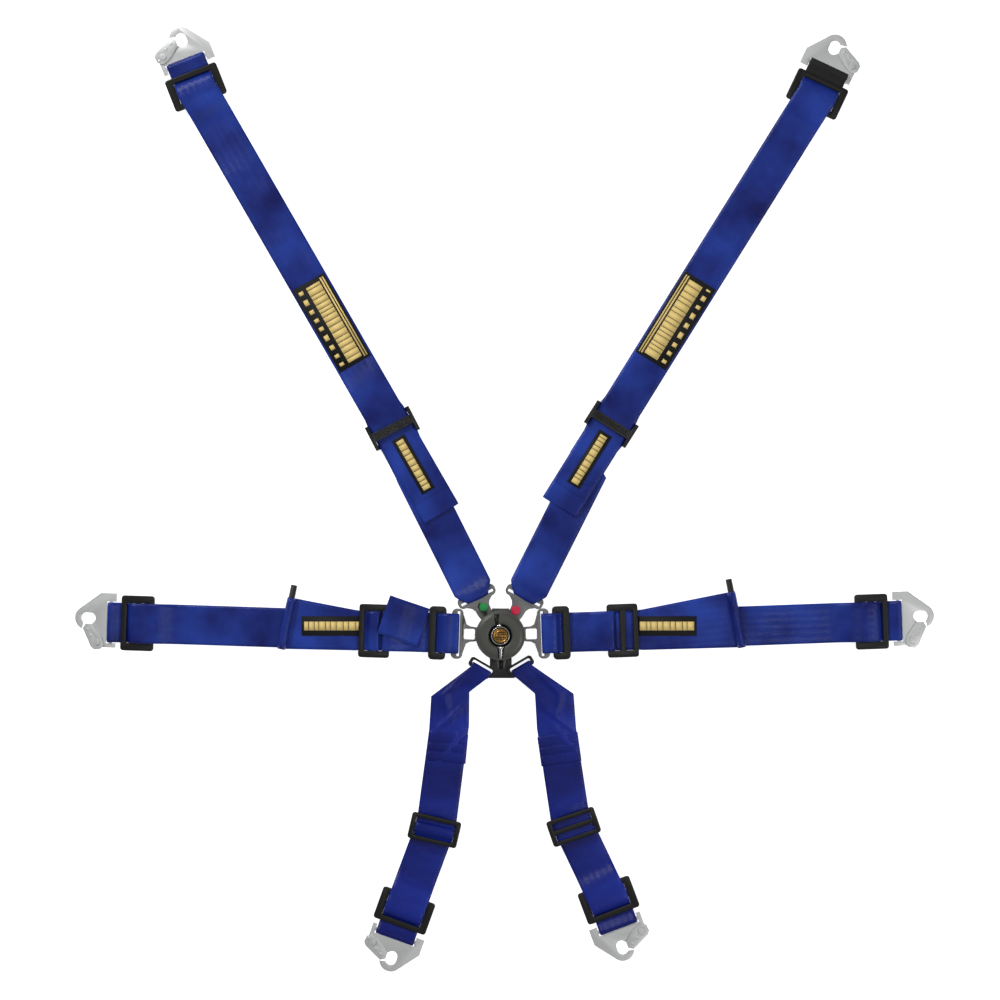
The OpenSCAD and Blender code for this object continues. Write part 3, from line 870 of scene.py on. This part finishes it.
rim = [(24, 14.5, 0), (29, 14.5, 0), (29.8, 15.2, 1), (30, 17, 1)]
rim += [(30, 21.5, 1), (29.6, 22.6, 1), (29, 23.2, 0.2)]
crown = [(28.6, 23.5, 0), (27.6, 24.6, 0), (26, 25.6, 0), (23, 26, 0), (17, 26, 0), (15.2, 25.7, 0)]
well = [(14.6, 25.2, 0), (14.3, 22.3, 0), (13.8, 22, 0), (0.4, 22, 0)]
cap = lathe("rotary_cap_look", rim + crown + well, 360, 90, 0.8)
finish(cap, "rotary_cap", CAP_METAL, ["rotary_cap"])
print("cap turned")


# %% [markdown]
# On the face of the cap a thin dark plate at the top is painted shade for a groove; there is a bright
# pointer, and a rib at the bottom that the thumb finds in the dark, on a dark base that is painted shade
# round it.
# Inside the well sit a chrome ring and a small gilt disc, on a dark floor that is painted shade of the well.


# %% Cap details
def prism(name, outline, z0, z1, body, material, bevel=0.3):
    n = len(outline)
    verts = [(x * MM, y * MM, z * MM) for z in (z0, z1) for x, y in outline]
    faces = [tuple(range(n - 1, -1, -1)), tuple(range(n, 2 * n))]
    faces += [(i, (i + 1) % n, n + (i + 1) % n, n + i) for i in range(n)]
    mesh = bpy.data.meshes.new(name)
    mesh.from_pydata(verts, [], faces)
    obj = link(name, mesh)
    if bevel:
        mod = obj.modifiers.new("edge", "BEVEL")
        mod.width = bevel * MM
        mod.segments = 2
        mod.limit_method = "ANGLE"
    return finish(obj, body, material)


C = "rotary_cap"
# painted shade: a thin dark plate on the crown where the groove holds shade
prism("cap_groove_painted_shade", [(-2.4, 14), (-1.5, 26.8), (-7.9, 26.4), (-6.2, 14)], 25.5, 26.12, C, CAP_DARK_AND_SHADE, 0)
prism("cap_pointer", [(-5, 11.6), (2.2, 11.6), (-1.2, 14.8)], 22, 26.1, C, CHROME, 0.4)
# painted shade: a dark base round the chrome rib
prism("cap_rib_base_painted_shade", [(-2.6, -27.5), (3.6, -27.5), (5, -13), (-4, -13)], 25.2, 26.3, C, CAP_DARK_AND_SHADE, 0.3)
rib = [(-0.6, -28), (1.6, -28), (2.2, -16), (4.4, -13.6), (-3.4, -13.6), (-1.2, -16)]
prism("cap_rib", rib, 25.6, 27.2, C, CHROME, 0.5)
# painted shade: the floor of the well is dark
well_floor = lathe("cap_well_painted_shade", [(13.9, 22, 0), (13.9, 22.2, 0), (0.2, 22.2, 0)], 96)
finish(well_floor, C, CAP_DARK_AND_SHADE)
bezel = [(11.6, 22, 0), (11.6, 25.2, 0), (11.2, 25.9, 0), (10.7, 26.1, 0)]
bezel += [(10.2, 25.9, 0), (9.8, 25.2, 0), (9.8, 24, 0), (0.2, 24, 0)]
ring = lathe("cap_bezel_look", bezel, 160)
finish(ring, C, WORN_CHROME, ["cap_bezel"])
disc = [(8.8, 24, 0), (8.8, 25.2, 0), (8.4, 25.6, 0), (7.6, 25.6, 0)]
disc += [(7.2, 25.0, 0), (6.2, 25.0, 0), (5.8, 25.6, 0)]
disc += [(4.9, 25.6, 0), (4.5, 25.1, 0), (2.2, 25.1, 0), (1.8, 25.7, 0), (0.2, 25.8, 0)]
emblem = lathe("emblem_disc_look", disc, 160)
finish(emblem, C, BRASS, ["emblem_disc"])
for y in (-4.3, -2.2, 1.4, 3.5):
    half = math.sqrt(7.0**2 - max(abs(y), abs(y + 0.8)) ** 2)
    bar = [(-half, y), (half, y), (half, y + 0.8), (-half, y + 0.8)]
    prism("emblem_bar", bar, 25.0, 25.95, C, CAP_DARK_AND_SHADE, 0.1)
top = body_of("crotch_bracket")
# painted shade: a thin dark plate on the bracket between the ribs, for the shade of its slot
prism("bracket_slot_painted_shade", [(-1.6, -29), (3.5, -29), (3.0, -42), (-1.0, -42)], 8.9, 9.12, top, CAP_DARK_AND_SHADE, 0)
# the ribs are lighter grey: worn edge and painted highlight
prism("bracket_rib_left", [(-5.0, -29), (-1.6, -29), (-1.4, -41), (-3.2, -41)], 8.9, 9.7, top, RIB_STEEL, 0.4)
prism("bracket_rib_right", [(3.5, -29), (7.0, -29), (5.0, -41), (3.3, -41)], 8.9, 9.7, top, RIB_STEEL, 0.4)
print("cap details made")


# %% [markdown]
# The woven labels are black with a gold line and a row of gold blocks. A plain pattern of blocks stands
# where a maker would weave a name.


# %% Woven labels
def box_mesh(name, boxes, at, angle, body, material):
    bm = bmesh.new()
    for x0, x1, y0, y1, z0, z1 in boxes:
        corners = [(x, y, z) for z in (z0, z1) for y in (y0, y1) for x in (x0, x1)]
        vs = [bm.verts.new(place(at, angle, *corner) * MM) for corner in corners]
        for f in ((0, 2, 3, 1), (4, 5, 7, 6), (0, 1, 5, 4), (2, 6, 7, 3), (0, 4, 6, 2), (1, 3, 7, 5)):
            bm.faces.new([vs[i] for i in f])
    mesh = bpy.data.meshes.new(name)
    bm.to_mesh(mesh)
    bm.free()
    return finish(link(name, mesh), body, material)


def blocks(x0, x1, y0, y1, z, seed, gap=0.7):
    rnd = random.Random(seed)
    out = []
    x = x0
    while x < x1 - 2:
        w = min(rnd.uniform(4.2, 8.4), x1 - x)
        out.append((x, x + w, y0, y1, z, z + 0.12))
        x += w + gap
    return out


def label(name, node, at, angle, box, z, rows, replaced=()):
    x0, x1, y0, y1 = box
    patch = box_mesh(name, [(x0, x1, y0, y1, z - 1, z + 0.5)], at, angle, body_of(node), LABEL_CLOTH)
    if replaced:
        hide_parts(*replaced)
    gold = box_mesh(name + "_gold", rows, at, angle, body_of(node), GOLD_THREAD)


for k, s in enumerate(SIDES):
    pre = f"shoulder_{s}"
    adj = centre(pre + "_adjuster")
    aim = heading(pre + "_length")
    inner = -1 if s == "left" else 1
    z = LAYER_1 + 2.1
    rows = []
    for a, b in ((17.6, 19.2), (14.2, 16.2)):
        y_line = sorted((inner * a, inner * b))
        rows.append((95, 206, y_line[0], y_line[1], z + 0.5, z + 0.62))
    rows += blocks(97, 203, *sorted((inner * 12.2, -inner * 6.5)), z + 0.5, 21 + k)
    rows += blocks(98, 204, *sorted((-inner * 17.6, -inner * 11.8)), z + 0.5, 31 + k, 7)
    label(pre + "_label", pre + "_labels", adj, aim, (92, 209, -22, 22), z, rows, [pre + "_labels"])
    z = STRIP + 0.75
    rows = blocks(-86, -17, -4.8, 4.8, z + 0.5, 41 + k)
    label(pre + "_tail_label", pre + "_labels", adj, aim, (-89, -13, -9, 9), z, rows)
    pre = f"lap_{s}"
    low, high = (-245, -171) if s == "left" else (169, 242)
    adj = centre(pre + "_adjuster")
    z = UNDER + 0.8
    rows = blocks(low + 3, high - 3, 5.6, 16.4, z + 0.5, 51 + k)
    label(pre + "_label", pre + "_tail", (0, 0), 0, (low, high, -1, 23), z, rows)
print("labels made")

# %% [markdown]
# The stage is a pale floor under soft light: a bright dome of light and three large soft boxes, so the
# metal has something to mirror and the folds of the webbing catch a long soft highlight.

# %% Floor, light and camera
low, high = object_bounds()
bpy.ops.mesh.primitive_plane_add(size=8, location=(0, 0.16, low[2] - 0.0003))
floor = bpy.context.object
floor.name = "studio_floor"
paper, _, _ = new_material("white studio paper", Base_Color=srgb("#fbfbfb"), Roughness=0.95)
paper.node_tree.nodes["Principled BSDF"].inputs["Emission Color"].default_value = (1, 1, 1, 1)
paper.node_tree.nodes["Principled BSDF"].inputs["Emission Strength"].default_value = 0.8
floor.data.materials.append(paper)


def soft_box(name, where, size, power, target=(0, 0.16, 0)):
    data = bpy.data.lights.new(name, "AREA")
    data.shape = "RECTANGLE"
    data.size, data.size_y = size
    data.energy = power
    lamp = bpy.data.objects.new(name, data)
    bpy.context.scene.collection.objects.link(lamp)
    lamp.location = where
    lamp.rotation_euler = (Vector(target) - Vector(where)).to_track_quat("-Z", "Y").to_euler()
    return lamp


soft_box("key_light", (-1.7, 2.1, 1.8), (0.8, 0.5), 44)
soft_box("fill_light", (1.9, -0.7, 2.2), (0.9, 0.6), 17)
soft_box("top_light", (0.1, 0.3, 3.6), (0.8, 0.8), 5)
world = bpy.data.worlds.new("studio")
bpy.context.scene.world = world
world.use_nodes = True
back = world.node_tree.nodes["Background"]
back.inputs["Color"].default_value = (1, 1, 1, 1)
back.inputs["Strength"].default_value = 0.28

cam_data = bpy.data.cameras.new("camera")
cam_data.lens = 100
cam_data.sensor_width = 36
cam = bpy.data.objects.new("camera", cam_data)
bpy.context.scene.collection.objects.link(cam)
cam.location = (-0.0004, 0.1664, 3.43)
bpy.context.scene.camera = cam
bpy.context.scene.view_settings.view_transform = "Standard"
print("stage ready")
